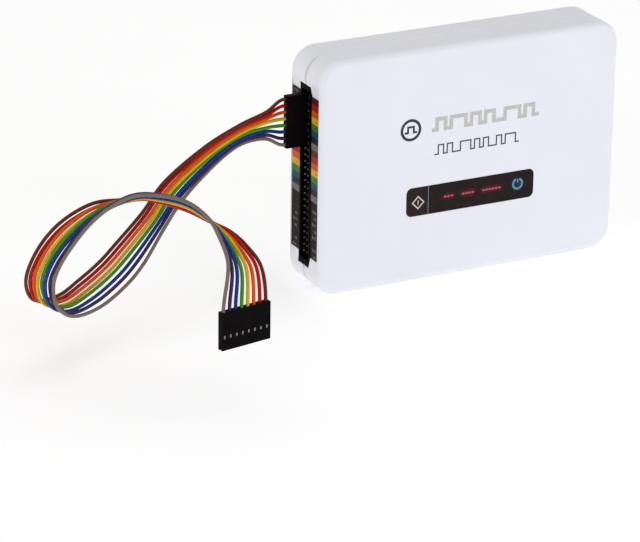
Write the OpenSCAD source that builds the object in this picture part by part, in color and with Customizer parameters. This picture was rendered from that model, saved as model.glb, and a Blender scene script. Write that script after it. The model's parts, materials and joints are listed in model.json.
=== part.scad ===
// USB logic analyzer: two-part moulded case, side channel port, eight-wire test lead.
// Millimetres. Origin: middle of the long narrow side it stands on, on the case's centre line.
// +Z up, -Y is the front with the start key, the channel port faces -X, the USB socket faces +X.

/* [Case] */
// Case width, along X
case_w = 127; // [118:0.5:140]
// Case height when it stands on its long side, along Z
case_h = 92; // [88:0.5:100]
// Case thickness, along Y
case_d = 25; // [25:0.5:30]
// Corner radius seen from the front
corner_r = 9.06; // [8:0.01:11]
// Rounding along the front and rear edges
edge_r = 2.95; // [1:0.05:3.5]
// Wall thickness
wall = 2; // [1.8:0.1:2.4]
// Y of the parting line between the case halves
part_y = -0.7; // [-1.5:0.1:0.5]
// Bevel on the front half's rim at the parting line
front_seam = 0.5; // [0.1:0.05:0.6]
// Gap between the two rims
seam_gap = 0.3; // [0:0.05:0.4]
// Bevel on the rear half's rim at the parting line
rear_seam = 0.8; // [0.1:0.05:0.9]

/* [Front panel] */
// Left end of the dark panel, along X
panel_x0 = -26.66; // [-30:0.01:-20]
// Right end of the dark panel
panel_x1 = 28; // [20:0.1:35]
// Lower edge of the dark panel
panel_z0 = 26.45; // [20:0.05:35]
// Upper edge of the dark panel
panel_z1 = 37.94; // [34:0.01:48]
// Corner radius of the dark panel
panel_r = 2.3; // [1:0.1:4]
// X of the rib between the start key and the panel
rib_x = -17.17; // [-20:0.01:-14]
// How far the rib between the key and the panel sits below the front face
rib_drop = 0.3; // [0:0.1:0.8]

/* [Channel port] */
// Contact spacing
pitch = 2.54; // [2:0.01:2.54]
// Contact positions in one row
positions = 25; // [20:1:25]
// Depth of the recess around the port
port_recess = 1.04; // [0.6:0.01:1.2]
// Length of the ramps at the ends of that recess
recess_ramp = 5.5; // [3:0.5:6]
// Width of each colour strip beside the port
strip_w = 6.4; // [4:0.1:6.5]
// Height of the middle of the port
port_z = 45; // [44:0.1:47]

/* [Test lead] */
// Outer diameter of each wire
wire_d = 1.2; // [0.9:0.05:1.25]
// Length of a lead plug
plug_len = 14; // [12:0.1:14.5]
// Thickness of a lead plug
plug_t = 2.5; // [2.3:0.05:2.5]
// Heading of the free plug's contact row, degrees from +X
far_turn = 10; // [0:1:25]

/* [Board] */
// Board thickness
pcb_t = 1.6; // [1.2:0.1:1.6]
// Y of the board's component side
pcb_y = 4.45; // [4.45:0.05:4.6]

/* [Hidden] */
$fn = 48;

over = 1; // how far cuts run past a surface
lap = 0.2; // how far posts sink into a wall

// Case
half_w = case_w / 2;
half_d = case_d / 2;
front_y = -half_d;
front_in = front_y + wall; // inside of the front wall
mid_z = case_h / 2;
front_depth = half_d + part_y;
rear_depth = half_d - part_y;
inner_r = corner_r - wall;
inner_edge_r = 1.2;

// [x, z] of four spots set in from the case's sides
function corner_spots(in_x, in_z) =
  [for (side = [-1, 1], z = [in_z, case_h - in_z]) [side * (half_w - in_x), z]];
screw_spots = corner_spots(8, 5.6);
screw_seat_y = 10;
foot_spots = corner_spots(14.5, 15);
foot_d = 9;
foot_sink = 0.8;
foot_proud = 0.9; // straight part beyond the rear face
plate_sink = 0.4;

// Front panel
rib_half = 0.2;
panel_h = panel_z1 - panel_z0;
key_w = rib_x - rib_half - panel_x0;
lens_w = panel_x1 - rib_x - rib_half;
key_mid = [panel_x0 + key_w / 2, (panel_z0 + panel_z1) / 2]; // [x, z]
stalk_d = 3;
bars = [[-10.84, -6.35], [-3.35, 2.66], [5.25, 14.31]]; // [x0, x1] of each window
bar_z = 32.4;
bar_h = 1.7;
lamp = [21.05, 32.7]; // [x, z] of the round window
lamp_d = 5.6;
window_gap = 0.1;
lens_pocket = 1;

// Channel port
pcb_back = pcb_y + pcb_t;
shroud_half = 4.43; // along Y
shroud_len = (positions - 1) * pitch + 10.16; // runs 5.08 past the last pin at each end
shroud_z0 = port_z - shroud_len / 2;
shroud_z1 = port_z + shroud_len / 2;
mouth_x = -half_w + 0.6;
shroud_back = mouth_x + 9;
cavity_floor = mouth_x + 6.5;
pin_w = 0.64;
pin_tip = mouth_x + 0.5;
leg_near = shroud_back + 1.7; // legs of the +Y row
leg_far = leg_near + pitch; // legs of the -Y row
strip_t = 0.16;
strip_y = 4.61; // inner edge of each strip, from the port's middle
strip_z0 = port_z - positions * pitch / 2 + 0.35;
strip_z1 = strip_z0 + positions * pitch;

// USB socket
usb_z = mid_z;
usb_x1 = half_w - 1;
usb_x0 = usb_x1 - 16;
usb_y0 = -6.45;
usb_y1 = 4.43;
usb_half = 6.02; // along Z
usb_sheet = 0.35;
usb_tab_x = usb_x0 + 5.5;

// Test lead
lead_n = 8;
lead_w = lead_n * pitch - 0.02;
plug_half = plug_len / 2;
half_row = (lead_n - 1) / 2 * pitch;
near_z = port_z + (positions - 1) / 2 * pitch - half_row;
near_out = cavity_floor - 0.3 - plug_len; // X of the near plug's wire end
far_mid = [-130.52, -89.83, 31];

case_colour = [0.87, 0.87, 0.88];
dark = [0.07, 0.05, 0.05];
black = [0.05, 0.05, 0.055];
metal = [0.72, 0.72, 0.74];
gold = [0.8, 0.66, 0.35];
led_colour = [0.9, 0.88, 0.85];
strip_colour = [0.2, 0.2, 0.2];
wire_colours = [[0.30, 0.16, 0.08], [0.72, 0.06, 0.05], [0.93, 0.42, 0.06], [0.93, 0.80, 0.10],
  [0.10, 0.48, 0.16], [0.10, 0.24, 0.62], [0.36, 0.18, 0.48], [0.55, 0.55, 0.56]];

// ---- general shapes ----

// place of item i in a centred row of count items
function in_row(i, count, spacing) = (i - (count - 1) / 2) * spacing;

// rectangle with round corners, centred
module round_rect(w, h, radius) {
  square([w - 2 * radius, h], center = true);
  square([w, h - 2 * radius], center = true);
  for (x = [-1, 1], y = [-1, 1])
    translate([x * (w / 2 - radius), y * (h / 2 - radius)]) circle(radius);
}

// half section of a case half, from the corner axis outwards:
// far outer corner rounded by edge, near one bevelled
module rim_profile(reach, edge, depth, bevel) {
  if (bevel > 0)
    polygon([[0, 0], [reach - bevel, 0], [reach, bevel], [reach, depth - edge],
      [0, depth - edge]]);
  else square([reach, depth - edge]);
  square([reach - edge, depth]);
  intersection() {
    translate([reach - edge, depth - edge]) circle(edge);
    translate([reach - edge, depth - edge]) square([edge, edge]);
  }
}

// one straight stretch of the rim, at +X, running along Y
module rim_side(len, out, radius, edge, depth, bevel)
  translate([out - radius, len / 2, 0]) rotate([90, 0, 0])
    linear_extrude(len) rim_profile(radius, edge, depth, bevel);

// dish w by h, far face at z = depth, with softened far edges and bevelled near ones
module dish(w, h, radius, edge, depth, bevel = 0) {
  flat_w = w - 2 * radius;
  flat_h = h - 2 * radius;
  translate([-flat_w / 2, -flat_h / 2, 0]) cube([flat_w, flat_h, depth]);
  for (flip = [0, 1]) mirror([flip, 0, 0]) rim_side(flat_h, w / 2, radius, edge, depth, bevel);
  for (turn = [90, -90]) rotate([0, 0, turn])
    rim_side(flat_w, h / 2, radius, edge, depth, bevel);
  for (flip_x = [0, 1], flip_y = [0, 1]) mirror([flip_x, 0, 0]) mirror([0, flip_y, 0])
    translate([flat_w / 2, flat_h / 2, 0])
      rotate_extrude(angle = 90) rim_profile(radius, edge, depth, bevel);
}
// dish that hollows out a case half
module hollow(depth) translate([0, 0, -over])
  dish(case_w - 2 * wall, case_h - 2 * wall, inner_r, inner_edge_r, depth - wall + over);

// local X, Y, Z to case X, Z, -Y, measured from the parting plane
module to_front() translate([0, part_y, mid_z]) rotate([90, 0, 0]) children();
// local X, Y, Z to case X, Z, +Y
module to_rear() translate([0, part_y, mid_z]) mirror([0, 1, 0]) rotate([90, 0, 0]) children();
// case outline drawn in by inset, from z0 to z1 in the local frame of a case half
module inset_slab(inset, z0, z1) translate([0, 0, z0]) linear_extrude(z1 - z0)
  round_rect(case_w - 2 * inset, case_h - 2 * inset, corner_r - inset);
// box between two corners
module span(low, high) translate(low) cube(high - low);
// box centred on X and Y, standing at z
module block(size, z = 0) translate([-size[0] / 2, -size[1] / 2, z]) cube(size);
// cylinder along +Y at spot [x, z]
module rod_y(spot, y0, y1, d)
  translate([spot[0], y0, spot[1]]) rotate([-90, 0, 0]) cylinder(h = y1 - y0, d = d);
// outline in X and Z pushed along Y from y0 to y1
module along_y(y0, y1) translate([0, y1, 0]) rotate([90, 0, 0])
  linear_extrude(y1 - y0) children();
// part on the board's component side at spot [x, z]: local X, Y, Z to case X, Z, -Y
module on_board(spot, turn = 0)
  translate([spot[0], pcb_y, spot[1]]) rotate([90, 0, 0]) rotate([0, 0, turn]) children();

// ---- case ----

module port_opening() span([-half_w - over, -4.5, shroud_z0 - 0.1],
  [-half_w + 4, 4.5, shroud_z1 + 0.1]);

// shallow tray around the port, its two ends ramped out to the side face
module port_recess_cut() {
  z0 = strip_z0 - 0.15;
  z1 = strip_z1 + 0.15;
  half = strip_y + strip_w + 0.04;
  translate([0, half, 0]) rotate([90, 0, 0]) linear_extrude(2 * half)
    polygon([[-half_w - over, z0 - recess_ramp], [-half_w, z0 - recess_ramp],
      [-half_w + port_recess, z0], [-half_w + port_recess, z1],
      [-half_w, z1 + recess_ramp], [-half_w - over, z1 + recess_ramp]]);
}
module usb_opening() span([half_w - 4, -6.7, usb_z - 6.3], [half_w + over, 4.75, usb_z + 6.3]);

// openings shared by both case halves
module side_openings() {
  port_opening();
  port_recess_cut();
  usb_opening();
}

// rectangle from the origin with its two corners at x = 0 rounded
module round_end(w, h) {
  translate([panel_r, 0]) square([w - panel_r, h]);
  translate([0, panel_r]) square([w - panel_r, h - 2 * panel_r]);
  for (y = [panel_r, h - panel_r]) translate([panel_r, y]) circle(panel_r);
}
module key_outline(inset) translate([panel_x0 + inset, panel_z0 + inset])
  round_end(key_w - 2 * inset, panel_h - 2 * inset);
module lens_outline(inset) translate([panel_x1 - inset, panel_z1 - inset]) rotate(180)
  round_end(lens_w - 2 * inset, panel_h - 2 * inset);
module window_bar(bar, y0, y1, gap = 0)
  span([bar[0] - gap, y0, bar_z - bar_h / 2 - gap], [bar[1] + gap, y1, bar_z + bar_h / 2 + gap]);

// bridge that guides the key's stalk
module key_bridge() {
  half = 3;
  y0 = -6;
  y1 = -4.5;
  reach = 8.6;
  leg = 1.2;
  translate([key_mid[0], 0, key_mid[1]]) {
    for (z = [-reach, reach - leg]) span([-half, front_in - lap, z], [half, y1, z + leg]);
    span([-half, y0, -reach], [half, y1, reach]);
  }
}

module front_cover() color(case_colour) difference() {
  union() {
    difference() {
      to_front() translate([0, 0, seam_gap])
        dish(case_w, case_h, corner_r, edge_r, front_depth - seam_gap, front_seam);
      to_front() hollow(front_depth);
      // rebate that takes the rear half's tongue
      to_front() inset_slab(1, -1, 1.6);
    }
    for (spot = screw_spots) rod_y(spot, front_in - lap, pcb_y - 0.05, 6);
    key_bridge();
  }
  side_openings();
  along_y(front_y - over, front_in + 0.5) key_outline(0);
  along_y(front_y - over, front_y + lens_pocket) lens_outline(0);
  span([rib_x - 0.3, front_y - over, panel_z0], [rib_x + 0.3, front_y + rib_drop, panel_z1]);
  for (bar = bars) window_bar(bar, front_y, front_in + 0.5, window_gap);
  rod_y(lamp, front_y, front_in + 0.5, lamp_d + 2 * window_gap);
  rod_y(key_mid, -7, -4, stalk_d + 0.1);
  for (spot = screw_spots) rod_y(spot, -5, pcb_y + over, 2.55);
}

module plate_outline(inset) translate([0, mid_z])
  round_rect(52 - 2 * inset, 34 - 2 * inset, 1.5 - inset);

module rear_cover() color(case_colour) difference() {
  union() {
    difference() {
      to_rear() dish(case_w, case_h, corner_r, edge_r, rear_depth, rear_seam);
      to_rear() hollow(rear_depth);
    }
    // tongue that locates the front half
    difference() {
      to_rear() inset_slab(1.08, -1.5, 1);
      to_rear() inset_slab(wall, -2, 2);
    }
    for (spot = screw_spots) rod_y(spot, pcb_back + 0.05, half_d - wall + lap, 6.4);
  }
  side_openings();
  for (spot = screw_spots) {
    rod_y(spot, pcb_back - over, half_d + over, 2.8);
    rod_y(spot, screw_seat_y, half_d + over, 5);
  }
  for (spot = foot_spots) rod_y(spot, half_d - foot_sink, half_d + over, foot_d + 0.1);
  along_y(half_d - plate_sink, half_d + over) plate_outline(0);
}

module panel_lens() color(dark)
  along_y(front_y, front_y + lens_pocket - 0.04) lens_outline(0.04);

// key cap, flange behind the front wall, stalk
module start_key() color(dark) {
  flange = 0.8;
  along_y(front_y, front_in + 0.3) key_outline(0.06);
  span([panel_x0 - flange, front_in + 0.05, panel_z0 - flange],
    [rib_x + 0.5, front_in + 1.05, panel_z1 + flange]);
  rod_y(key_mid, front_in + 0.5, -0.6, stalk_d);
}

lift = 0.02; // gap between the board and what stands on it

module tact_switch_body() color([0.12, 0.12, 0.13]) on_board(key_mid) {
  difference() {
    block([6, 6, 3.4], 0.05);
    translate([0, 0, 0.9]) cylinder(h = 3, d = 3.6);
  }
  for (x = [-3.5, 3.5], y = [-2.25, 2.25]) translate([x, y, 0]) block([1.2, 0.7, 0.2], lift);
}

module switch_stem() color([0.55, 0.1, 0.08]) on_board(key_mid)
  translate([0, 0, 1.5]) cylinder(h = 3.5, d = 3.5);

// light guides joined by one plate behind the front wall
module light_pipe() color([0.9, 0.92, 0.92, 0.6]) {
  y0 = front_y + lens_pocket + 0.02;
  y1 = 2.35;
  for (bar = bars) window_bar(bar, y0, y1);
  rod_y(lamp, y0, y1, lamp_d);
  span([-12.5, front_in + 0.1, 29], [25, front_in + 1.1, 36.4]);
}

// LED with a conical well in its top
module led_body() {
  block([3.2, 2.8, 0.8], lift);
  difference() {
    block([3, 2.7, 1.4], 0.5);
    translate([0, 0, 1.5]) cylinder(h = 1, d1 = 1.9, d2 = 2.6);
  }
}
module indicator_leds() color(led_colour)
  for (bar = bars) on_board([(bar[0] + bar[1]) / 2, bar_z]) led_body();
module power_led() color(led_colour) on_board(lamp) led_body();

// ---- board and parts on it ----

// [x, z] of each part
logic_spot = [10, 56];
memory_spot = [-14, 58];
usb_chip_spot = [31, 48];
crystal_spot = [31, 61];
regulator_spot = [42, 74];
cap_spots = [[50, 26], [42, 20], [50, 16]];
buffer_spots = [for (z = [19, 35, 51, 67]) [-38, z]];
network_spots = [for (i = [0 : 9]) [-45.6, 15 + i * 6.6]];
// x, z, turn in degrees
passives = [[-30, 15, 0], [-30, 24, 0], [-30, 45, 90], [-30, 56, 0], [-30, 76, 90],
  [-22, 74, 0], [-6, 74, 0], [-2, 66, 90], [-2, 50, 90], [22, 66, 90], [22, 54, 0],
  [22, 48, 0], [10, 70, 0], [4, 70, 0], [16, 70, 0], [10, 42.5, 0], [2, 42.5, 0],
  [17, 42.5, 0], [38, 54, 90], [38, 42, 90], [30, 39, 0], [-10, 24, 0], [0, 24, 0],
  [9, 24, 0], [20, 24, 0], [50, 74, 0], [50, 68, 0], [27, 74, 0]];

function pin_z(i) = port_z + in_row(i, positions, pitch);

module main_board() color([0.05, 0.22, 0.12]) {
  inset = 3.2;
  y0 = pcb_y - over;
  y1 = pcb_back + over;
  difference() {
    along_y(pcb_y, pcb_back) translate([0, mid_z])
      round_rect(case_w - 2 * inset, case_h - 2 * inset, corner_r - inset);
    for (spot = screw_spots) rod_y(spot, y0, y1, 2.7);
    for (i = [0 : positions - 1], x = [leg_near, leg_far]) rod_y([x, pin_z(i)], y0, y1, 1);
    for (side = [-1, 1]) rod_y([usb_tab_x, usb_z + side * 6.03], y0, y1, 2.3);
  }
}

// gull-wing lead reaching out by 1 from a body's side at the origin, body height h
module gull_lead(w, h) rotate([90, 0, 0]) translate([0, 0, -w / 2]) linear_extrude(w)
  polygon([[-0.1, h * 0.5], [0.3, h * 0.5], [0.45, lift], [1, lift], [1, 0.17],
    [0.57, 0.17], [0.42, h * 0.5 + 0.15], [-0.1, h * 0.5 + 0.15]]);

// chip with a row of leads on each of its two X sides
module dual_chip(body, leads, spacing, lead) {
  block(body, 0.1);
  for (flip = [0, 1], i = [0 : leads - 1]) mirror([flip, 0, 0])
    translate([body[0] / 2, in_row(i, leads, spacing), 0]) gull_lead(lead, body[2]);
}

// square chip with 16 leads a side and a round dimple near one corner
module logic_chip() color(black) on_board(logic_spot) {
  difference() {
    block([14, 14, 1.4], 0.1);
    translate([-5.6, 5.6, 1.4]) cylinder(h = 1, d = 1);
  }
  for (turn = [0, 90, 180, 270], i = [0 : 15]) rotate([0, 0, turn])
    translate([7, in_row(i, 16, 0.8), 0]) gull_lead(0.36, 1.4);
}
module memory_chip() color(black) on_board(memory_spot)
  dual_chip(body = [10.2, 18.4, 1], leads = 16, spacing = 1.1, lead = 0.4);
module usb_chip() color(black) on_board(usb_chip_spot)
  dual_chip(body = [5.3, 10.2, 1.6], leads = 14, spacing = 0.65, lead = 0.3);
module input_buffers() color(black) for (spot = buffer_spots) on_board(spot)
  dual_chip(body = [4.4, 6.5, 1], leads = 10, spacing = 0.65, lead = 0.25);

module resistor_networks() color([0.1, 0.1, 0.11]) for (spot = network_spots) on_board(spot) {
  block([1.6, 4, 0.5], lift);
  for (i = [0 : 3]) translate([0, in_row(i, 4, 1), 0]) block([2, 0.4, 0.3], lift);
}
module chip_passives() color([0.45, 0.36, 0.28])
  for (part = passives) on_board([part[0], part[1]], part[2]) block([2, 1.2, 0.6], lift);

module crystal_layer(height, w) linear_extrude(height) {
  square([6.3, w], center = true);
  for (x = [-3.15, 3.15]) translate([x, 0]) circle(d = w);
}
module crystal() color(metal) on_board(crystal_spot) {
  crystal_layer(3.4, 4.2);
  crystal_layer(0.5, 5);
}
module regulator() color(black) on_board(regulator_spot) {
  block([6.5, 3.5, 1.6], 0.05);
  translate([0, 2.5, 0]) block([3, 2, 0.25], lift);
  for (x = [-2.3, 0, 2.3]) translate([x, -2.5, 0]) block([0.7, 2, 0.25], lift);
}
module electrolytic_caps() color(metal) for (spot = cap_spots) on_board(spot) {
  block([6.6, 6.6, 1], lift);
  cylinder(h = 5.8, d = 6.3);
}

// ---- channel port ----

module port_header() color(black) {
  end_wall = 2.36;
  slot_half = 2.25;
  difference() {
    span([mouth_x, -shroud_half, shroud_z0], [shroud_back, shroud_half, shroud_z1]);
    span([mouth_x - over, -3.2, shroud_z0 + end_wall], [cavity_floor, 3.2, shroud_z1 - end_wall]);
    // slot through the middle of the -Y side
    span([mouth_x - over, -shroud_half - over, port_z - slot_half],
      [cavity_floor, -3, port_z + slot_half]);
    for (i = [0 : positions - 1], y = [-pitch / 2, pitch / 2])
      translate([shroud_back - 2, y, pin_z(i)]) cube([6, 0.7, 0.7], center = true);
  }
}

// pin at height y in the shroud, bent towards +Y into the board at x = leg, both tips tapered
module bent_pin(y, leg) {
  half = pin_w / 2;
  tip = 0.14;
  translate([0, 0, -half]) linear_extrude(pin_w)
    polygon([[pin_tip, y - tip], [pin_tip + 0.5, y - half], [leg + half - 0.25, y - half],
      [leg + half, y - half + 0.25], [leg + half, 7], [leg + tip, 7.5], [leg - tip, 7.5],
      [leg - half, 7], [leg - half, y + half], [pin_tip + 0.5, y + half], [pin_tip, y + tip]]);
}
module port_pins() color(gold) for (i = [0 : positions - 1]) translate([0, 0, pin_z(i)]) {
  bent_pin(-pitch / 2, leg_far);
  bent_pin(pitch / 2, leg_near);
}

module strip(y) span([-half_w + port_recess - strip_t, y, strip_z0],
  [-half_w + port_recess, y + strip_w, strip_z1]);
module port_strip_front() color(strip_colour) strip(-strip_y - strip_w);
module port_strip_rear() color(strip_colour) strip(strip_y);

// ---- USB socket ----

tongue_y0 = -2.7;
tongue_y1 = 0.4;

// mouth outline with its two -Y corners cut off, enlarged by gap
module usb_mouth(gap) translate([0, (usb_y0 + usb_y1) / 2 - 0.2])
  polygon([[-4.25 - gap, 3.9 + gap], [4.25 + gap, 3.9 + gap], [4.25 + gap, -2.4],
    [2.7 + gap / 2, -3.9 - gap], [-2.7 - gap / 2, -3.9 - gap], [-4.25 - gap, -2.4]]);
// local X, Y, Z to case Z, Y, X
module along_x(x0, x1) translate([x0, 0, usb_z]) mirror([1, 0, 0]) rotate([0, -90, 0])
  linear_extrude(x1 - x0) children();
// socket-sized box from x0 to x1, drawn in by inset along Y and Z
module usb_box(x0, x1, inset) span([x0, usb_y0 + inset, usb_z - usb_half + inset],
  [x1, usb_y1 - inset, usb_z + usb_half - inset]);

module usb_shell() color(metal) {
  difference() {
    usb_box(usb_x0, usb_x1, 0);
    usb_box(usb_x0 - over, usb_x1 - 0.4, usb_sheet);
    along_x(usb_x1 - 1, usb_x1 + over) usb_mouth(0);
  }
  // tabs through the board
  for (z = [usb_z - usb_half, usb_z + usb_half - usb_sheet])
    span([usb_tab_x - 0.9, usb_y1 - 1, z], [usb_tab_x + 0.9, pcb_back + 1, z + usb_sheet]);
}
module usb_insert() color([0.92, 0.92, 0.9]) {
  difference() {
    usb_box(usb_x0 + 0.1, usb_x1 - 0.45, 0.4);
    along_x(usb_x0 + 6, usb_x1 + over) usb_mouth(0.05);
  }
  span([usb_x0 + 5, tongue_y0, usb_z - 2.8], [usb_x1 - 1.2, tongue_y1, usb_z + 2.8]);
}
module usb_contacts() color(gold)
  for (z = [usb_z - 1.25, usb_z + 1.25], y = [tongue_y0 - 0.16, tongue_y1 + 0.01])
    span([usb_x0 + 6.5, y, z - 0.5], [usb_x1 - 2, y + 0.15, z + 0.5]);

// ---- fasteners, feet, plate ----

module case_screws() color(metal) for (spot = screw_spots) difference() {
  union() {
    rod_y(spot, -3, screw_seat_y + 0.1, 2.45);
    rod_y(spot, screw_seat_y + 0.02, 11.8, 4.4);
  }
  // cross in the head
  for (slot = [[2.6, 0.7], [0.7, 2.6]])
    translate([spot[0] - slot[0] / 2, 10.9, spot[1] - slot[1] / 2])
      cube([slot[0], 1.1, slot[1]]);
}
module rubber_feet() color([0.08, 0.08, 0.08]) for (spot = foot_spots) {
  rod_y(spot, half_d - foot_sink + 0.01, half_d + foot_proud, foot_d);
  translate([spot[0], half_d + foot_proud, spot[1]]) rotate([-90, 0, 0])
    cylinder(h = 0.6, d1 = foot_d, d2 = 7.8);
}
module rating_plate() color([0.8, 0.81, 0.82])
  along_y(half_d - plate_sink + 0.01, half_d - 0.1) plate_outline(0.1);

// ---- test lead ----

module per_lead() for (i = [0 : lead_n - 1]) translate([in_row(i, lead_n, pitch), 0, 0])
  children();

// plug at the origin: contact row along X (first wire at +X),
// wires leave towards +Z, windows face -Y
module plug_housing() difference() {
  block([lead_w, plug_t, plug_len], -plug_half);
  per_lead() {
    block([1.84, 1.84, plug_len], 1 - plug_half);
    block([0.9, 0.9, 3], -plug_half - over);
    translate([0, -plug_t / 2 - 0.2, 0]) block([1.1, 1.6, 1.5], -2.95);
  }
  // grooves between positions on the +Y face
  for (i = [1 : lead_n - 1]) translate([(i - lead_n / 2) * pitch, plug_t / 2, 0])
    cube([0.24, 0.3, plug_len + 1], center = true);
}
module plug_contacts() per_lead() {
  difference() {
    block([1.64, 1.64, 7.2], 1.05 - plug_half);
    block([0.94, 0.94, 7.4], -plug_half);
  }
  block([1, 1, 4], 1);
}

module at_near() translate([near_out + plug_half, pitch / 2, near_z])
  rotate([0, -90, 0]) mirror([1, 0, 0]) children();
module at_far() translate(far_mid) rotate([0, 0, far_turn]) children();

module near_plug_housing() color(black) at_near() plug_housing();
module near_contacts() color(metal) at_near() plug_contacts();
module far_plug_housing() color(black) at_far() plug_housing();
module far_contacts() color(metal) at_far() plug_contacts();

// middle of the row of wire ends at each plug, and from there to the brown wire
near_end = [near_out - 0.3, pitch / 2, near_z];
near_row = [0, 0, half_row];
far_end = far_mid + [0, 0, plug_half + 0.3];
far_row = half_row * [cos(far_turn), sin(far_turn), 0];

// stations [x, y, z] of the two outermost wires, from the near plug to the far plug
brown_path = [near_end + near_row, [-79.8, -1.5, 72.6], [-92.6, -5.1, 70.5],
  [-107.1, -6.4, 64.7], [-122.8, -6.7, 54.2], [-131.8, -6.5, 43.2], [-142.6, -7.9, 33.8],
  [-150.2, -9.6, 28.2], [-160.6, -14.2, 24.4], [-171.1, -21.4, 23.4], [-182.7, -27.5, 26.1],
  [-187.9, -33.1, 36.6], [-185.2, -37.6, 48.9], [-178.9, -43.1, 59.7], [-169.7, -49.4, 67.3],
  [-161.7, -55.5, 69.6], [-155.3, -61.9, 71.6], [-148.6, -67.8, 70.2], [-143.3, -72.3, 68.7],
  [-137.8, -75.8, 65.7], [-131.7, -80.4, 62.5], [-127, -83.8, 57.6], [-122.8, -86.9, 50.1],
  far_end + far_row];
grey_path = [near_end - near_row, [-79.7, -0.5, 61.9], [-90.7, -1.9, 61.5],
  [-102.6, -4.6, 56.1], [-116.4, -8.7, 47], [-125.3, -11.5, 37.9], [-135, -15.1, 27.2],
  [-143.4, -17.4, 20.6], [-155.3, -21.8, 16.2], [-168.1, -28.6, 17.6], [-177.1, -35.5, 25.6],
  [-179.9, -38.9, 35], [-179.9, -44.4, 43.9], [-177.5, -50.9, 53.8], [-173.7, -57.6, 63.8],
  [-168.5, -62.5, 70.9], [-161.5, -68.1, 76.1], [-152.7, -74.2, 76.6], [-146.1, -79.7, 74.6],
  [-141.1, -84.2, 69.5], [-138.4, -87.6, 62.1], [-136.8, -89.2, 55.6], [-137.2, -90.1, 49.6],
  far_end - far_row];
// weight at each station of a bunched spacing: bunch_brown above 0, bunch_grey below
bunch = [0, -0.6, -0.05, 0, 0, 0.05, 0.7, 0.8, 0.7, 0.05, 0.05, 0.15,
  0.15, 0.05, 0, 0, 0, 0, 0, 0, 0, 0, 0, 0];
// place of each wire from brown (0) to grey (1) where fully bunched
bunch_brown = [0, 0.118, 0.236, 0.354, 0.472, 0.64, 0.79, 1];
bunch_grey = [0, 0.125, 0.25, 0.375, 0.61, 0.735, 0.86, 1];
last = len(brown_path) - 1;
// step into each plug, which sets the wires' slope there
near_dir = [9, 0, 0];
far_dir = [0, 0, -11];
rings = 69;
sides = 6;

function mix(from, to, t) = from + (to - from) * t;
function place(wire, i) = mix(wire / (lead_n - 1),
  bunch[i] >= 0 ? bunch_brown[wire] : bunch_grey[wire], abs(bunch[i]));
function station(wire, i) = i < 0 ? station(wire, 1) + 2 * near_dir
  : i > last ? station(wire, last - 1) + 2 * far_dir
  : mix(brown_path[i], grey_path[i], place(wire, i));
// smooth curve from p1 to p2, with p0 before and p3 after them
function curve(p0, p1, p2, p3, t) = 0.5 * (2 * p1 + (p2 - p0) * t
  + (2 * p0 - 5 * p1 + 4 * p2 - p3) * t * t
  + (3 * p1 - p0 - 3 * p2 + p3) * t * t * t);
// point on a wire, at counted in stations
function along(wire, at) = let(i = min(floor(at), last - 1))
  curve(station(wire, i - 1), station(wire, i), station(wire, i + 1), station(wire, i + 2),
    at - i);
// each wire wanders a little out of the ribbon's plane
function wander(wire, at) =
  0.5 * sin(at * 180 / last) * sin(wire * 137 + at * (20 + 2 * wire));
function unit(v) = v / norm(v);
function ring(wire, at) = let(
    heading = unit(along(wire, min(at + 0.02, last)) - along(wire, max(at - 0.02, 0))),
    ribbon = along(lead_n - 1, at) - along(0, at),
    across = unit(ribbon - (ribbon * heading) * heading),
    out = cross(heading, across),
    centre = along(wire, at) + out * wander(wire, at))
  [for (s = [0 : sides - 1])
    centre + (across * cos(s * 360 / sides) + out * sin(s * 360 / sides)) * wire_d / 2];

module wire(index) color(wire_colours[index]) {
  points = [for (j = [0 : rings]) each ring(index, last * j / rings)];
  skin = [for (j = [0 : rings - 1], s = [0 : sides - 1])
    each let(a = j * sides + s, b = j * sides + (s + 1) % sides)
      [[a, a + sides, b + sides], [a, b + sides, b]]];
  start_cap = [for (s = [0 : sides - 1]) s];
  end_cap = [for (s = [sides - 1 : -1 : 0]) rings * sides + s];
  polyhedron(points = points, faces = concat(skin, [start_cap], [end_cap]));
}
module wire_brown() wire(0);
module wire_red() wire(1);
module wire_orange() wire(2);
module wire_yellow() wire(3);
module wire_green() wire(4);
module wire_blue() wire(5);
module wire_violet() wire(6);
module wire_grey() wire(7);

front_cover();
rear_cover();
panel_lens();
start_key();
tact_switch_body();
switch_stem();
light_pipe();
indicator_leds();
power_led();
main_board();
logic_chip();
memory_chip();
usb_chip();
input_buffers();
resistor_networks();
chip_passives();
crystal();
regulator();
electrolytic_caps();
port_header();
port_pins();
port_strip_front();
port_strip_rear();
usb_shell();
usb_insert();
usb_contacts();
case_screws();
rubber_feet();
rating_plate();
near_plug_housing();
near_contacts();
wire_brown();
wire_red();
wire_orange();
wire_yellow();
wire_green();
wire_blue();
wire_violet();
wire_grey();
far_plug_housing();
far_contacts();
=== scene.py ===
# A small white case with a dark lens and key on its front, and an eight-wire ribbon lead.
# The case stands upright on the floor, Z up. Its front faces -Y and its port is on the -X side.
# The lead leaves the port, swings out along -X and comes forward to a second plug.
# Sizes are in millimetres unless a comment says otherwise; MM turns them into metres.
import bpy
import json
import math
import numpy as np
from mathutils import Matrix, Vector


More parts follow.
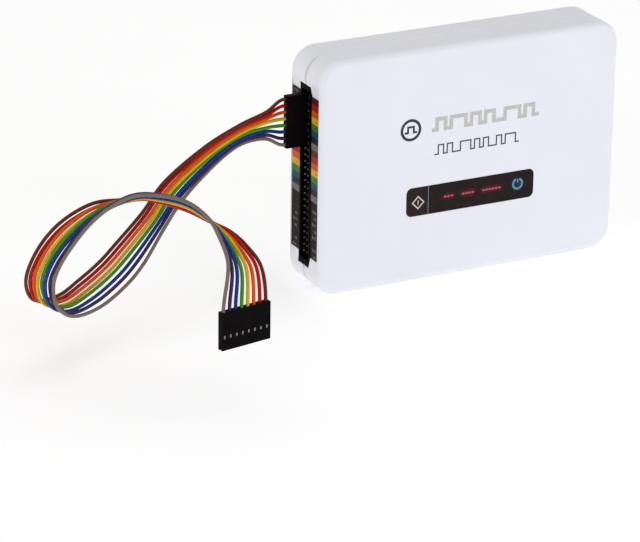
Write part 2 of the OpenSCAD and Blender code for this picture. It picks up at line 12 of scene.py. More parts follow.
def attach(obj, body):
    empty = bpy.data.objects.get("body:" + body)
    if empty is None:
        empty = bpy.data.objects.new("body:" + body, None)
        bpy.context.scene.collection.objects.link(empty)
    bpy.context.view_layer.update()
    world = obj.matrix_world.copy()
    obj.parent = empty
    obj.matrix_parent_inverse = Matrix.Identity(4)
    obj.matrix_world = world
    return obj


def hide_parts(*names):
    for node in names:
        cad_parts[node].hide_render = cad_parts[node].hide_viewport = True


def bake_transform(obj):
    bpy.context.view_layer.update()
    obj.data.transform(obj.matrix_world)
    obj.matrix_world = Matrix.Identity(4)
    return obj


MM = 0.001
FRONT_Y = -12.5    # front face of the case

# Wire order across the ribbon: sRGB of the insulation, sRGB of the matching printed cell.
COLORS = {
    "brown": ((98, 37, 22), (86, 33, 27)),
    "red": ((168, 10, 4), (172, 34, 26)),
    "orange": ((208, 83, 4), (212, 97, 22)),
    "yellow": ((206, 165, 26), (226, 175, 48)),
    "green": ((72, 134, 36), (74, 127, 38)),
    "blue": ((17, 52, 122), (28, 84, 90)),
    "violet": ((57, 34, 86), (40, 33, 56)),
    "grey": ((118, 107, 96), (122, 112, 108)),
}
COLOR_NAMES = list(COLORS)

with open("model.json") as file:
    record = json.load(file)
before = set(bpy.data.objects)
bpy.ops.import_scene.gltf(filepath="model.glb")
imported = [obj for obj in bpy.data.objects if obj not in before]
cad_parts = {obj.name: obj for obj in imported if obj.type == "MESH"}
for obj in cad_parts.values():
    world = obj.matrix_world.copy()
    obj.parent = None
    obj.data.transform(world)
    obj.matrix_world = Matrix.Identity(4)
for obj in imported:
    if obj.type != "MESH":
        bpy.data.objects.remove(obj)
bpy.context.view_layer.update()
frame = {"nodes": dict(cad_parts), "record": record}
nodes = frame["nodes"]


# ------------------------------------------------------------------ shader helpers

def srgb(*channels):
    """sRGB 0..255 to linear 0..1"""
    scaled = [v / 255.0 for v in channels]
    return [v / 12.92 if v <= 0.04045 else ((v + 0.055) / 1.055) ** 2.4 for v in scaled]


class Graph:
    """Short calls that add nodes to a material. A value may be a constant or a socket."""

    def __init__(self, material):
        self.tree = material.node_tree

    def add(self, kind):
        return self.tree.nodes.new(kind)

    def find(self, node_type):
        return next(n for n in self.tree.nodes if n.type == node_type)

    def put(self, socket, value):
        if isinstance(value, bpy.types.NodeSocket):
            self.tree.links.new(value, socket)
        else:
            socket.default_value = value

    def math(self, operation, first, second=None):
        node = self.add("ShaderNodeMath")
        node.operation = operation
        self.put(node.inputs[0], first)
        if second is not None:
            self.put(node.inputs[1], second)
        return node.outputs[0]

    def remap(self, value, from_min, from_max, to_min, to_max, curve="LINEAR"):
        node = self.add("ShaderNodeMapRange")
        node.interpolation_type = curve
        node.inputs["From Min"].default_value = from_min
        node.inputs["From Max"].default_value = from_max
        node.inputs["To Min"].default_value = to_min
        node.inputs["To Max"].default_value = to_max
        self.put(node.inputs["Value"], value)
        return node.outputs["Result"]

    def mapping(self, coordinates, scale, rotation=(0, 0, 0)):
        node = self.add("ShaderNodeMapping")
        node.inputs["Scale"].default_value = scale
        node.inputs["Rotation"].default_value = rotation
        self.put(node.inputs["Vector"], coordinates)
        return node.outputs["Vector"]

    def noise(self, coordinates, scale, detail, roughness=0.5):
        node = self.add("ShaderNodeTexNoise")
        node.inputs["Scale"].default_value = scale
        node.inputs["Detail"].default_value = detail
        node.inputs["Roughness"].default_value = roughness
        self.put(node.inputs["Vector"], coordinates)
        return node.outputs["Fac"]

    def mix_colors(self, factor, first, second):
        node = self.add("ShaderNodeMix")
        node.data_type = "RGBA"
        # Sockets 6, 7 and output 2 are the colour ones.
        self.put(node.inputs[0], factor)
        self.put(node.inputs[6], first)
        self.put(node.inputs[7], second)
        return node.outputs[2]

    def split(self, vector):
        node = self.add("ShaderNodeSeparateXYZ")
        self.put(node.inputs["Vector"], vector)
        return node.outputs

    def scale_vector(self, vector, factor):
        node = self.add("ShaderNodeVectorMath")
        node.operation = "SCALE"
        self.put(node.inputs[0], vector)
        self.put(node.inputs["Scale"], factor)
        return node.outputs[0]

    def add_vectors(self, first, second):
        node = self.add("ShaderNodeVectorMath")
        node.operation = "ADD"
        self.put(node.inputs[0], first)
        self.put(node.inputs[1], second)
        return node.outputs[0]


def surface(name, color, rough=0.5, rough_var=0.08, metal=0.0, coat=0.0, coat_rough=0.1,
            bump=0.05, bump_scale=2.0, vary=0.06, vary_scale=0.15, speck=0.0, sss=0.0,
            transmission=0.0, ior=1.5, wear=0.0, emission=None, emit=0.0, spec=0.5):
    """Procedural material in object coordinates, with noise scales per millimetre.

    vary is the soft colour variation, speck the strength of dark specks, wear the roughness
    added by hairline scuffs, sss the subsurface weight, emit the strength of emission.
    """
    material = bpy.data.materials.new(name)
    material.use_nodes = True
    material.node_tree.nodes.clear()
    graph = Graph(material)
    output = graph.add("ShaderNodeOutputMaterial")
    shader = graph.add("ShaderNodeBsdfPrincipled")
    graph.put(output.inputs["Surface"], shader.outputs["BSDF"])
    coordinates = graph.add("ShaderNodeTexCoord").outputs["Object"]
    millimetres = graph.mapping(coordinates, (1000, 1000, 1000))

    def setting(socket, value):
        graph.put(shader.inputs[socket], value)

    base = Vector(color)
    clouds = graph.noise(millimetres, vary_scale, 3.0)
    mixed = graph.mix_colors(graph.remap(clouds, 0.3, 0.7, 0, 1),
                             (*[max(0, v * (1 - vary)) for v in base], 1),
                             (*[min(1, v * (1 + vary)) for v in base], 1))
    if speck > 0:
        specks = graph.remap(graph.noise(millimetres, 14.0, 2.0), 0.66, 0.74, 0, speck)
        mixed = graph.mix_colors(specks, mixed, (*[v * 0.55 for v in base], 1))
    setting("Base Color", mixed)

    grain = graph.noise(millimetres, bump_scale, 5.0, 0.6)
    roughness = graph.remap(graph.noise(millimetres, 0.8, 4.0), 0.3, 0.7,
                            rough - rough_var, rough + rough_var)
    if wear > 0:
        # A stretched noise roughens thin streaks.
        streaks = graph.mapping(coordinates, (90, 900, 2600), (0.3, 0.8, 0.5))
        scuffs = graph.remap(graph.noise(streaks, 1.0, 6.0), 0.62, 0.72, 0, wear)
        roughness = graph.math("ADD", roughness, scuffs)
    setting("Roughness", roughness)

    relief = graph.add("ShaderNodeBump")
    relief.inputs["Strength"].default_value = bump
    relief.inputs["Distance"].default_value = 0.05 * MM
    graph.put(relief.inputs["Height"], grain)
    setting("Normal", relief.outputs["Normal"])
    setting("Metallic", metal)
    setting("IOR", ior)
    setting("Specular IOR Level", spec)
    setting("Coat Weight", coat)
    setting("Coat Roughness", coat_rough)
    if sss > 0:
        setting("Subsurface Weight", sss)
        setting("Subsurface Radius", (0.8, 0.7, 0.6))
        setting("Subsurface Scale", 0.001)
    if transmission > 0:
        setting("Transmission Weight", transmission)
    if emit > 0:
        setting("Emission Color", (*emission, 1))
        setting("Emission Strength", graph.remap(graph.noise(millimetres, 1.5, 2.0), 0.2, 0.8,
                                                 emit * 0.85, emit * 1.15))
    material.diffuse_color = (*base, 1)
    return material


# ------------------------------------------------------------------ materials of the CAD pieces

GLOSS = dict(rough_var=0.03, coat=0.06, coat_rough=0.07, bump=0.02, vary=0.2, spec=0.10)
PANEL_LOOK = dict(GLOSS, color=(0.0125, 0.0055, 0.0062), rough=0.14, bump_scale=1.2,
                  vary_scale=0.3, wear=0.08)

materials = {
    "case": surface("case_plastic", srgb(235, 236, 243), rough=0.42, rough_var=0.05, bump=0.10,
                    bump_scale=3.2, vary=0.012, vary_scale=0.05, sss=0.04, wear=0.10,
                    coat=0.05, coat_rough=0.35),
    "panel": surface("panel_gloss", **PANEL_LOOK),
    "key": surface("key_gloss", (0.019, 0.0095, 0.0095), rough=0.15, bump_scale=1.4,
                   vary_scale=0.4, wear=0.12, **GLOSS),
    "black": surface("nylon_black", (0.0030, 0.0022, 0.0026), rough=0.55, bump=0.14,
                     bump_scale=5.0, vary=0.25, vary_scale=0.5, speck=0.15, wear=0.1,
                     spec=0.035),
    "header": surface("header_black", (0.0028, 0.0021, 0.0021), rough=0.55, bump=0.12,
                      bump_scale=4.0, vary=0.2, vary_scale=0.4, wear=0.08, spec=0.022),
    "chip": surface("chip_epoxy", (0.018, 0.018, 0.019), rough=0.55, rough_var=0.07, bump=0.2,
                    bump_scale=8.0, vary=0.15),
    "board": surface("board_mask", (0.012, 0.10, 0.035), rough=0.30, rough_var=0.07, coat=0.4,
                     bump=0.08, bump_scale=1.2, vary=0.2, vary_scale=0.6),
    "gold": surface("gold_flash", (0.85, 0.66, 0.32), rough=0.24, metal=1.0, bump_scale=5.0,
                    vary=0.08),
    # Tin pins. Their colour is darkened far below tin as painted shade, standing in for the
    # shade inside the header mouth.
    "pins": surface("pin_tin_painted_shade", (0.10, 0.085, 0.085), rough=0.42, rough_var=0.10, metal=1.0,
                    bump=0.10, bump_scale=6.0, vary=0.15, vary_scale=0.8),
    "crimp": surface("crimp_tin", (0.30, 0.28, 0.28), rough=0.38, rough_var=0.10, metal=1.0,
                     bump=0.10, bump_scale=6.0, vary=0.12),
    "tin": surface("tin_plate", (0.76, 0.76, 0.74), rough=0.30, rough_var=0.10, metal=1.0,
                   bump=0.08, bump_scale=6.0, vary=0.08),
    "steel": surface("zinc_steel", (0.62, 0.62, 0.64), rough=0.32, rough_var=0.10, metal=1.0,
                     bump=0.10, bump_scale=5.0, vary=0.1, wear=0.15),
    "can": surface("aluminium_can", (0.80, 0.80, 0.82), rough=0.28, metal=1.0),
    "rubber": surface("foot_rubber", (0.022, 0.022, 0.023), rough=0.78, rough_var=0.06,
                      bump=0.3, bump_scale=4.0, vary=0.15, speck=0.2),
    "plate": surface("blank_film", (0.50, 0.51, 0.53), rough=0.34, rough_var=0.05, metal=0.25,
                     bump=0.04, bump_scale=3.0, vary=0.03),
    "strip": surface("strip_film", (0.050, 0.046, 0.046), rough=0.30, rough_var=0.04,
                     bump=0.03, bump_scale=3.0, vary=0.03),
    "lamp": surface("lamp_white", (0.80, 0.78, 0.72), rough=0.35, vary=0.05),
    "pipe": surface("light_pipe_clear", (0.95, 0.97, 0.97), rough=0.08, rough_var=0.03,
                    transmission=0.95, ior=1.49, bump=0.02, vary=0.01),
    "usb_plastic": surface("usb_plastic", (0.72, 0.72, 0.71), rough=0.45, bump=0.06,
                           vary=0.04),
    "passive": surface("chip_ceramic", (0.30, 0.20, 0.12), bump=0.1, bump_scale=8.0,
                       vary=0.25, vary_scale=1.5),
    "stem": surface("switch_stem_red", (0.30, 0.02, 0.02), rough=0.4, bump=0.06, vary=0.1),
}
for color_name, (wire_color, _) in COLORS.items():
    materials["wire_" + color_name] = surface(
        "pvc_" + color_name, srgb(*wire_color), rough=0.36, rough_var=0.07, bump=0.16,
        bump_scale=1.6, vary=0.08, vary_scale=0.22, sss=0.04, coat=0.02, coat_rough=0.25,
        wear=0.06, spec=0.11)


def paint_recess_shade(material):
    """Painted shade: darken the colour in two narrow recesses, the side parting line and the rib
    between key and lens.
    """
    seam_y = -0.7
    rib_x = -17.17
    rib_bottom, rib_top = 26.45, 37.94
    seam_painted_shade = 0.23    # share of the colour taken away in each recess, as painted shade
    rib_painted_shade = 0.60
    graph = Graph(material)
    shader = graph.find("BSDF_PRINCIPLED")
    color = shader.inputs["Base Color"].links[0].from_socket
    place = graph.split(graph.add("ShaderNodeTexCoord").outputs["Object"])
    normal = graph.split(graph.add("ShaderNodeNewGeometry").outputs["True Normal"])

    def rise(value, start, end):
        return graph.remap(value, start * MM, end * MM, 0, 1, "SMOOTHSTEP")

    def fall(value, start, end):
        return graph.remap(value, start * MM, end * MM, 1, 0, "SMOOTHSTEP")

    def times(first, second):
        return graph.math("MULTIPLY", first, second)

    # 1 on faces turned to -X or +X; the painted seam shade goes only on these faces, and the top
    # of the seam is left light
    side = graph.remap(graph.math("ABSOLUTE", normal["X"]), 0.12, 0.62, 0, 1, "SMOOTHSTEP")
    seam = times(rise(place["Y"], seam_y - 0.45, seam_y - 0.2),
                 fall(place["Y"], seam_y + 0.6, seam_y + 0.85))
    # Painted shade on the rib between key and lens, on the case front only.
    rib_offset = graph.math("ABSOLUTE", graph.math("SUBTRACT", place["X"], rib_x * MM))
    rib = fall(rib_offset, 0.32, 0.4)
    rib = times(rib, rise(place["Y"], FRONT_Y + 0.08, FRONT_Y + 0.2))
    rib = times(rib, fall(place["Y"], FRONT_Y + 1.2, FRONT_Y + 1.6))
    rib = times(rib, times(rise(place["Z"], rib_bottom - 0.05, rib_bottom),
                           fall(place["Z"], rib_top, rib_top + 0.05)))
    kept = times(graph.math("SUBTRACT", 1.0, times(times(side, seam), seam_painted_shade)),
                 graph.math("SUBTRACT", 1.0, times(rib, rib_painted_shade)))
    graph.put(shader.inputs["Base Color"], graph.scale_vector(color, kept))


paint_recess_shade(materials["case"])

# Material slots whose name is not a key of materials.
SLOT_MATERIAL = {
    "switch_black": "black", "switch_stem": "stem", "light_pipe": "pipe", "resistor": "chip",
    "usb_metal": "steel", "screw": "steel", "foot": "rubber", "plug": "black",
}
slot_of = {part["node"]: part["material_slot"] for part in frame["record"]["subparts"]}
for name, piece in nodes.items():
    slot = slot_of[name]
    piece.data.materials.clear()
    piece.data.materials.append(materials[SLOT_MATERIAL.get(slot, slot)])
    for polygon in piece.data.polygons:
        polygon.material_index = 0

# Width of the rolled edge on each CAD piece that gets one.
EDGE_WIDTHS = {
    "front_cover": 0.14, "rear_cover": 0.14, "panel_lens": 0.10, "start_key": 0.14,
    "port_header": 0.12, "near_plug_housing": 0.10, "far_plug_housing": 0.10,
    "usb_shell": 0.08, "case_screws": 0.10, "rubber_feet": 0.25, "rating_plate": 0.05,
    "near_contacts": 0.04, "far_contacts": 0.04, "usb_insert": 0.08,
}


def soften(piece, width):
    """Small rolled edges, as modifiers."""
    weld = piece.modifiers.new("weld", "WELD")
    weld.merge_threshold = 0.002 * MM
    edge = piece.modifiers.new("edge", "BEVEL")
    edge.width = width * MM
    edge.segments = 2
    edge.limit_method = "ANGLE"
    edge.angle_limit = math.radians(35)
    edge.miter_outer = "MITER_ARC"
    edge.use_clamp_overlap = True
    edge.harden_normals = False
    normals = piece.modifiers.new("normals", "WEIGHTED_NORMAL")
    normals.keep_sharp = False
    normals.weight = 60
    for polygon in piece.data.polygons:
        polygon.use_smooth = True


for name, width in EDGE_WIDTHS.items():
    soften(nodes[name], width)


# ------------------------------------------------------------------ mesh helpers

def make(name, verts, faces, mesh_materials, smooth=False):
    mesh = bpy.data.meshes.new(name)
    mesh.from_pydata([tuple(v) for v in verts], [], [tuple(f) for f in faces])
    mesh.validate()
    piece = bpy.data.objects.new(name, mesh)
    bpy.context.scene.collection.objects.link(piece)
    for material in mesh_materials:
        mesh.materials.append(material)
    if smooth:
        for polygon in mesh.polygons:
            polygon.use_smooth = True
    return piece


# Outlines are lists of 2D points, counter-clockwise.

def rectangle(x0, z0, x1, z1):
    return [(x0, z0), (x1, z0), (x1, z1), (x0, z1)]


def arc(x, z, radius, start, end, steps):
    """Points along an arc; start and end are in degrees."""
    angles = [math.radians(start + (end - start) * i / steps) for i in range(steps + 1)]
    return [(x + radius * math.cos(t), z + radius * math.sin(t)) for t in angles]


def rounded(x, z, width, height, radius, steps):
    """Rectangle centred on x, z with rounded corners."""
    points = []
    for side_x, side_z, start in ((1, 1, 0), (-1, 1, 90), (-1, -1, 180), (1, -1, 270)):
        points += arc(x + side_x * (width / 2 - radius), z + side_z * (height / 2 - radius),
                      radius, start, start + 90, steps)
    return points


def stroke(points, width, closed=False):
    """Mitred stroke along a polyline, as quads that share edges."""
    line = [Vector(p) for p in points]
    count = len(line)
    left, right = [], []
    for i, point in enumerate(line):
        before = after = None
        if i > 0 or closed:
            before = (point - line[i - 1]).normalized()
        if i < count - 1 or closed:
            after = (line[(i + 1) % count] - point).normalized()
        if before is None:
            before = after
        if after is None:
            after = before
        normal = Vector((-before.y, before.x))
        mitre = (normal + Vector((-after.y, after.x))).normalized()
        reach = width / 2 * (1 / max(0.35, mitre.dot(normal)))
        left.append(tuple(point + mitre * reach))
        right.append(tuple(point - mitre * reach))
    quads = []
    for i in range(count if closed else count - 1):
        j = (i + 1) % count
        quads.append([right[i], right[j], left[j], left[i]])
    return quads


def pulse_train(start, widths, low, high):
    """Square wave along X that begins low; each width is one level run."""
    points, x, level, other = [(start, low)], start, low, high
    for width in widths:
        x += width
        points.append((x, level))
        level, other = other, level
        points.append((x, level))
    return points[:-1]


INK = 0.035          # thickness of a printed mark
LIT_INK = INK * 0.6  # thickness of a lit mark


def front_mark(name, outlines, material, body="case", thickness=INK):
    """Thin closed solid on the case front. Outlines that share an edge get no wall there."""
    points, index_of, rings = [], {}, []
    for outline in outlines:
        ring = []
        for x, z in outline:
            key = (round(x, 5), round(z, 5))
            if key not in index_of:
                index_of[key] = len(points)
                points.append((x, z))
            ring.append(index_of[key])
        rings.append(ring)
    count = len(points)
    verts = [(x * MM, (FRONT_Y - lift) * MM, z * MM)
             for lift in (0.0, thickness) for x, z in points]
    faces = [[count + i for i in ring] for ring in rings]
    faces += [list(reversed(ring)) for ring in rings]
    edges = {(ring[i], ring[(i + 1) % len(ring)]) for ring in rings for i in range(len(ring))}
    faces += [[i, j, count + j, count + i] for i, j in sorted(edges) if (j, i) not in edges]
    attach(make(name, verts, faces, [material]), body)


# ------------------------------------------------------------------ marks printed on the front

ink_silver = surface("ink_silver", srgb(192, 192, 188), rough=0.34, metal=0.30, vary_scale=0.4)
ink_dark = surface("ink_dark", srgb(70, 70, 80), vary_scale=0.4)
ink_slate = surface("ink_slate", srgb(30, 32, 58), rough=0.36, vary=0.15, vary_scale=0.5)
ink_white = surface("ink_white", srgb(204, 196, 192), rough=0.4, bump=0.03, vary=0.04)
glow_pink = surface("glow_pink", (0.20, 0.03, 0.05), rough=0.3, bump=0.02, vary=0.1,
                    emission=(0.60, 0.13, 0.19), emit=0.31)
glow_teal = surface("glow_teal", (0.03, 0.12, 0.15), rough=0.3, bump=0.02, vary=0.1,
                    emission=(0.10, 0.32, 0.42), emit=0.50)


def emblem(x, z):
    """A ring with one pulse across it."""
    front_mark("emblem_ring", stroke(arc(x, z, 3.8, 0, 360, 48)[:-1], 1.1, closed=True),
               ink_slate)
    pulse = [(-2.6, -1.0), (-1.2, -1.0), (-1.2, 1.2), (1.2, 1.2), (1.2, -1.0), (2.6, -1.0)]
    front_mark("emblem_pulse", stroke([(x + dx, z + dz) for dx, dz in pulse], 0.8), ink_slate)


def pulse_lines():
    """A broad pulse train above a thin one."""
    broad = pulse_train(-16.6, [2.2, 3.6, 2.4, 6.2, 2.4, 3.6, 2.4, 3.6, 4.8, 6.2, 2.4, 3.6, 2.4],
                        low=59.7, high=63.8)
    front_mark("mark_pulse_broad", stroke(broad, 1.5), ink_silver)
    thin = pulse_train(-15.2, [1.6, 2.2, 1.6, 2.2, 3.4, 4.4, 1.6, 2.2, 1.6, 2.2, 3.4, 2.2, 1.6,
                               4.4, 1.6], low=49.9, high=53.5)
    front_mark("mark_pulse_thin", stroke(thin, 0.55), ink_dark)


def key_mark(x, z):
    """A diamond with a bar in it, on the start key."""
    reach = 2.38
    diamond = [(x + reach, z), (x, z + reach), (x - reach, z), (x, z - reach)]
    bar = rectangle(x - 0.19, z - 0.9, x + 0.19, z + 0.9)
    front_mark("key_mark", stroke(diamond, 0.5, closed=True) + [bar], ink_white, "start_key")


emblem(-25.4, 61.05)
pulse_lines()
key_mark(-21.65, 31.8)

# ------------------------------------------------------------------ lit marks on the lens

FILM_LEFT, FILM_RIGHT = -13.6, 25.2
ROW_Z = 32.4
LIT_ROWS = ((-10.8, -6.55, 0.18), (-3.1, 2.3, 0.30), (5.65, 13.85, 0.24))  # X span, glow
POWER_X, POWER_Z = 21.05, 32.7


def glow_film(name, patches):
    """Panel gloss with soft lit patches.

    A patch is (tint, strength, x0, x1, z, reach): it is brightest on the line from x0 to x1
    at height z and fades out over reach.
    """
    material = surface(name, **PANEL_LOOK)
    graph = Graph(material)
    calc = graph.math
    shader = graph.find("BSDF_PRINCIPLED")
    place = graph.split(graph.find("TEX_COORD").outputs["Object"])
    x = calc("MULTIPLY", place["X"], 1000.0)
    z = calc("MULTIPLY", place["Z"], 1000.0)
    total = None
    # ABSOLUTE and SQRT ignore their second value.
    for tint, strength, x0, x1, patch_z, reach in patches:
        off_middle = calc("ABSOLUTE", calc("SUBTRACT", x, (x0 + x1) / 2), 0.0)
        dx = calc("MAXIMUM", calc("SUBTRACT", off_middle, (x1 - x0) / 2), 0.0)
        dz = calc("SUBTRACT", z, patch_z)
        squares = calc("ADD", calc("MULTIPLY", dx, dx), calc("MULTIPLY", dz, dz))
        distance = calc("SQRT", squares, 0.0)
        fade = graph.remap(distance, 0.0, reach, strength, 0.0, "SMOOTHERSTEP")
        light = graph.scale_vector(tint, fade)
        total = light if total is None else graph.add_vectors(total, light)
    graph.put(shader.inputs["Emission Color"], total)
    shader.inputs["Emission Strength"].default_value = 1.0
    return material


def lit_film():
    """The film under the lit marks."""
    patches = [((0.34, 0.001, 0.036), strength, x0 + 0.6, x1 - 0.6, ROW_Z, 2.2)
               for x0, x1, strength in LIT_ROWS]
    patches.append(((0.004, 0.05, 0.20), 0.34, POWER_X, POWER_X, POWER_Z, 3.8))
    outline = rounded((FILM_LEFT + FILM_RIGHT) / 2, ROW_Z, FILM_RIGHT - FILM_LEFT, 8.2, 1.5, 6)
    front_mark("glow_film", [outline], glow_film("glow_film", patches), thickness=0.010)


def lit_segments():
    """Three rows of short segments."""
    outlines = []
    for x0, x1, _ in LIT_ROWS:
        count = max(3, round((x1 - x0) / 1.3))
        pitch = (x1 - x0) / count
        for i in range(count):
            outlines.append(rounded(x0 + (i + 0.5) * pitch, ROW_Z, pitch * 0.78, 0.72, 0.2, 3))
    front_mark("lit_segments", outlines, glow_pink, thickness=LIT_INK)


def power_mark():
    """A ring open at the top, with a bar in the gap."""
    outlines = stroke(arc(POWER_X, POWER_Z, 1.97, 112, 428, 40), 0.78)
    outlines.append(rounded(POWER_X, POWER_Z + 1.2, 0.55, 1.6, 0.25, 3))
    front_mark("power_mark", outlines, glow_teal, thickness=LIT_INK)


lit_film()
lit_segments()
power_mark()

# ------------------------------------------------------------------ colour strips by the port

PITCH = 2.54
CELLS = 25
PORT_Z = 45
STRIP_TOP = PORT_Z + CELLS * PITCH / 2 + 0.35
STRIP_X = -62.62     # plane the cells lie on, facing -X
STRIP_WIDTH = 6.4
STRIP_GAP = 4.61     # from Y = 0 to the near edge of each strip
CELL_LIFT, TICK_LIFT = 0.02, 0.035

cell_materials = {}
for color_name, (_, print_color) in COLORS.items():
    cell_materials[color_name] = surface(
        "print_" + color_name, [v * 0.9 for v in srgb(*print_color)], rough=0.42, spec=0.08,
        bump=0.04, bump_scale=3.0, vary_scale=0.6)
cell_materials["black"] = surface("print_black", srgb(37, 27, 26), rough=0.45, spec=0.04,
                                  bump=0.04, bump_scale=3.0, vary=0.12, vary_scale=0.6)
cell_materials["mark"] = surface("print_mark", srgb(108, 96, 94), rough=0.40, spec=0.08,
                                 bump=0.03)
cell_materials["ink"] = surface("print_ink", srgb(64, 42, 34), rough=0.40, spec=0.08, bump=0.03)
CELL_KEYS = list(cell_materials)


def strip_print(name, y0, order, seed, bare, dark_half_height):
    """Coloured cells from the top down, with short ticks on all but the bare black ones.

    seed shifts the places and the number of the ticks.
    """
    verts, faces, face_materials = [], [], []

    def block(outline, lift0, lift1, key):
        base = len(verts)
        verts.extend(((STRIP_X - lift) * MM, y * MM, z * MM)
                     for lift in (lift0, lift1) for y, z in outline)
        faces.append([base + 4 + i for i in reversed(range(4))])
        faces.append([base + i for i in range(4)])
        for i in range(4):
            j = (i + 1) % 4
            faces.append([base + j, base + i, base + 4 + i, base + 4 + j])
        face_materials.extend([CELL_KEYS.index(key)] * 6)

    for i, cell in enumerate(order):
        z1 = STRIP_TOP - i * PITCH
        z0 = z1 - PITCH
        block(rectangle(y0 + 0.02, z0 + 0.01, y0 + STRIP_WIDTH - 0.02, z1 - 0.01),
              0.0, CELL_LIFT, cell)
        if cell == "black":
            if i in bare:
                continue
            widths = (0.75, 0.5, 0.8)[:3 - (i + seed) % 2]
            half, ink = dark_half_height, "mark"
        else:
            widths = (0.34, 0.34)
            half, ink = 0.30, "ink"
        middle = (z0 + z1) / 2
        y = y0 + 1.7 + 0.3 * ((i * 7 + seed) % 3)
        for width in widths:
            block(rectangle(y, middle - half, y + width, middle + half),
                  CELL_LIFT, TICK_LIFT, ink)
            y += width + 0.4
    strip = make(name, verts, faces, cell_materials.values())
    for polygon, index in zip(strip.data.polygons, face_materials):
        polygon.material_index = index
    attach(strip, "case")


strip_print("strip_print_front", -STRIP_GAP - STRIP_WIDTH, COLOR_NAMES * 2 + ["black"] * 9,
            seed=1, bare=(16, 22), dark_half_height=0.62)
strip_print("strip_print_rear", STRIP_GAP,
            ["black"] + COLOR_NAMES[:7] + COLOR_NAMES + ["black"] * 9,
            seed=2, bare=(16, 17, 18, 22), dark_half_height=0.5)

# ------------------------------------------------------------------ wires

FAR_PLUG = np.array([-130.52, -89.83, 31.0])
# Stations (X, Y, Z) of the ribbon's two outer wires, from the case to the far plug.
BROWN_PATH = np.array([
    [-71, 1.27, 75.48], [-79.8, -1.5, 72.6], [-92.6, -5.1, 70.5], [-107.1, -6.4, 64.7],
    [-122.8, -6.7, 54.2], [-131.8, -6.5, 43.2], [-142.6, -7.9, 33.8], [-150.2, -9.6, 28.2],
    [-160.6, -14.2, 24.4], [-171.1, -21.4, 23.4], [-182.7, -27.5, 26.1], [-187.9, -33.1, 36.6],
    [-185.2, -37.6, 48.9], [-178.9, -43.1, 59.7], [-169.7, -49.4, 67.3], [-161.7, -55.5, 69.6],
    [-155.3, -61.9, 71.6], [-148.6, -67.8, 70.2], [-143.3, -72.3, 68.7], [-137.8, -75.8, 65.7],
    [-131.7, -80.4, 62.5], [-127, -83.8, 57.6], [-122.8, -86.9, 50.1],
    FAR_PLUG + [8.755, 1.544, 7.3]])
GREY_PATH = np.array([
    [-71, 1.27, 57.7], [-79.7, -0.5, 61.9], [-90.7, -1.9, 61.5], [-102.6, -4.6, 56.1],
    [-116.4, -8.7, 47], [-125.3, -11.5, 37.9], [-135, -15.1, 27.2], [-143.4, -17.4, 20.6],
    [-155.3, -21.8, 16.2], [-168.1, -28.6, 17.6], [-177.1, -35.5, 25.6], [-179.9, -38.9, 35],
    [-179.9, -44.4, 43.9], [-177.5, -50.9, 53.8], [-173.7, -57.6, 63.8], [-168.5, -62.5, 70.9],
    [-161.5, -68.1, 76.1], [-152.7, -74.2, 76.6], [-146.1, -79.7, 74.6], [-141.1, -84.2, 69.5],
    [-138.4, -87.6, 62.1], [-136.8, -89.2, 55.6], [-137.2, -90.1, 49.6],
    FAR_PLUG + [-8.755, -1.544, 7.3]])
# Shift of the wire spacing at each station: above 0 the wires bunch on the brown side,
# below 0 on the grey side.
BUNCH = [0, -0.6, -0.05, 0, 0, 0.05, 0.7, 0.8, 0.7, 0.05, 0.05, 0.15, 0.15, 0.05] + [0] * 10
# Place of each wire between brown (0) and grey (1) when fully bunched.
BUNCHED_BROWN = [0, 0.118, 0.236, 0.354, 0.472, 0.64, 0.79, 1]
BUNCHED_GREY = [0, 0.125, 0.25, 0.375, 0.61, 0.735, 0.86, 1]
LAST = len(BROWN_PATH) - 1
LAST_WIRE = len(COLORS) - 1
WIRE_RADIUS = 0.66
WIRE_SIDES = 20
SPLIT = 13.5         # station where the near and far halves of a wire meet
OVERRUN = 1.6        # straight run past the end station into each plug


def station(wire, i):
    """Place of a wire at a station; one past either end, a point that steers the curve."""
    if i < 0:
        return station(wire, 1) + 2 * np.array([9.0, 0, 0])
    if i > LAST:
        return station(wire, LAST - 1) + 2 * np.array([0, 0, -11.0])
    amount = abs(BUNCH[i])
    bunched = (BUNCHED_BROWN if BUNCH[i] >= 0 else BUNCHED_GREY)[wire]
    share = wire / LAST_WIRE * (1 - amount) + bunched * amount
    return BROWN_PATH[i] + (GREY_PATH[i] - BROWN_PATH[i]) * share


def along(wire, u):
    """Catmull-Rom curve through the stations; u counts stations."""
    i = int(min(math.floor(u), LAST - 1))
    t = u - i
    p0, p1, p2, p3 = (station(wire, j) for j in range(i - 1, i + 3))
    return 0.5 * (2 * p1 + (p2 - p0) * t + (2 * p0 - 5 * p1 + 4 * p2 - p3) * t * t
                  + (3 * p1 - p0 - 3 * p2 + p3) * t ** 3)


def wander(wire, u):
    """Small drift of a wire out of the ribbon, none at the ends."""
    return (0.5 * math.sin(math.radians(u * 180 / LAST))
            * math.sin(math.radians(wire * 137 + u * (20 + 2 * wire))))


def frame_at(wire, u):
    """Centre, direction, axis across the ribbon and axis out of it."""
    tangent = along(wire, min(u + 0.02, LAST)) - along(wire, max(u - 0.02, 0))
    tangent /= np.linalg.norm(tangent)
    width = along(LAST_WIRE, u) - along(0, u)
    across = width - (width @ tangent) * tangent
    across /= np.linalg.norm(across)
    out = np.cross(tangent, across)
    return along(wire, u) + out * wander(wire, u), tangent, across, out


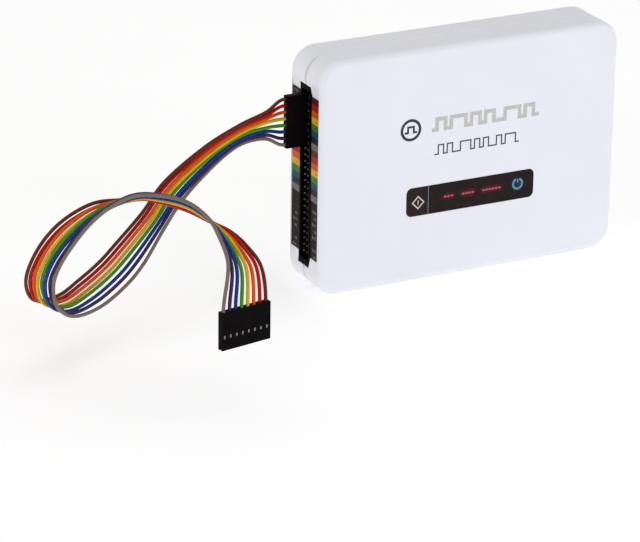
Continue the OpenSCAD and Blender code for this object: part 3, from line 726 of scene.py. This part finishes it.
def wire_tube(name, wire, u0, u1, steps, material, before=0, after=0):
    """Insulated wire from u0 to u1, carried straight on by before and after past its ends."""
    frames = [frame_at(wire, u0 + (u1 - u0) * i / steps) for i in range(steps + 1)]
    rings = [(centre, across, out) for centre, _, across, out in frames]
    if before:
        centre, tangent, across, out = frames[0]
        rings = [(centre - tangent * before * s, across, out) for s in (1.0, 0.5)] + rings
    if after:
        centre, tangent, across, out = frames[-1]
        rings += [(centre + tangent * after * s, across, out) for s in (0.5, 1.0)]
    verts, faces = [], []
    for j, (centre, across, out) in enumerate(rings):
        radius = WIRE_RADIUS * (1 + 0.012 * math.sin(j * 0.9 + wire))
        for side in range(WIRE_SIDES):
            angle = 2 * math.pi * side / WIRE_SIDES
            spoke = across * math.cos(angle) + out * math.sin(angle)
            verts.append((centre + spoke * radius) * MM)
    for j in range(len(rings) - 1):
        for side in range(WIRE_SIDES):
            a = j * WIRE_SIDES + side
            b = j * WIRE_SIDES + (side + 1) % WIRE_SIDES
            faces.append((a, b, b + WIRE_SIDES, a + WIRE_SIDES))
    faces.append(tuple(reversed(range(WIRE_SIDES))))
    faces.append(tuple(range(len(verts) - WIRE_SIDES, len(verts))))
    return make(name, verts, faces, [material], smooth=True)


for wire, color_name in enumerate(COLOR_NAMES):
    slot = "wire_" + color_name
    near = wire_tube("lead_%s_near" % color_name, wire, 0.0, SPLIT, 108, materials[slot],
                     before=OVERRUN)
    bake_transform(near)
    far = wire_tube("lead_%s_far" % color_name, wire, SPLIT, LAST, 76, materials[slot],
                    after=OVERRUN)
    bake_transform(far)
    for half in (near, far):
        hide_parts(slot)


# ------------------------------------------------------------------ floor, lights, camera
# This section works in metres.

def floor():
    """A sheet that curves up behind the case."""
    paper = surface("floor_paper", (0.93, 0.93, 0.93), rough=0.75, rough_var=0.05, bump=0.04,
                    bump_scale=0.5, vary=0.008, vary_scale=0.02, emission=(1, 1, 1), emit=0.30)
    cells = 40
    curve_y = 1.2
    verts, faces = [], []
    for j in range(cells + 1):
        y = -2.5 + 6.5 * j / cells
        z = 0.0 if y < curve_y else 0.35 * (y - curve_y) ** 2
        for i in range(cells + 1):
            verts.append((-3.0 + 6.0 * i / cells, y, z - 0.00002))
    for j in range(cells):
        for i in range(cells):
            a = j * (cells + 1) + i
            faces.append((a, a + 1, a + cells + 2, a + cells + 1))
    make("floor", verts, faces, [paper], smooth=True)


def area_light(name, place, target, size, power, color=(1, 1, 1)):
    """Rectangular light at place, aimed at target; power in watts."""
    data = bpy.data.lights.new(name, "AREA")
    data.shape = "RECTANGLE"
    data.size, data.size_y = size
    data.energy = power
    data.color = color
    light = bpy.data.objects.new(name, data)
    bpy.context.scene.collection.objects.link(light)
    light.location = place
    direction = Vector(target) - Vector(place)
    light.rotation_euler = direction.to_track_quat("-Z", "Y").to_euler()


def white_world():
    world = bpy.data.worlds.new("studio")
    world.use_nodes = True
    background = world.node_tree.nodes["Background"]
    background.inputs["Color"].default_value = (1, 1, 1, 1)
    background.inputs["Strength"].default_value = 0.52
    bpy.context.scene.world = world


def camera():
    data = bpy.data.cameras.new("camera")
    data.lens = 200.174175    # lens and sensor in millimetres
    data.sensor_width = 36
    data.clip_start, data.clip_end = 0.01, 50
    view = bpy.data.objects.new("camera", data)
    bpy.context.scene.collection.objects.link(view)
    right = Vector((0.89346005, -0.44895376, 0.01302524))
    up = Vector((0.15710023, 0.3395496, 0.92737564))
    forward = Vector((0.4207715, 0.82652682, -0.37390474))
    matrix = Matrix((right, up, -forward)).transposed().to_4x4()
    matrix.translation = (-0.618276, -1.104457, 0.505106)
    view.matrix_world = matrix
    bpy.context.scene.camera = view


floor()
area_light("key", place=(-1.5, -0.75, 0.5), target=(-0.03, -0.02, 0.045), size=(0.9, 0.7),
           power=5.3)
area_light("fill", place=(0.7, -1.3, 0.5), target=(-0.03, 0, 0.045), size=(0.8, 0.8),
           power=4.0, color=(0.93, 0.95, 1.08))
area_light("edge", place=(1.5, -0.35, 0.4), target=(0.0, 0, 0.045), size=(0.7, 0.7), power=2.2)
area_light("top", place=(0.0, 0.1, 1.3), target=(0, 0, 0.05), size=(1.2, 0.9), power=2.05,
           color=(1.05, 1.0, 0.92))
white_world()
camera()
bpy.context.scene.view_settings.view_transform = "Standard"
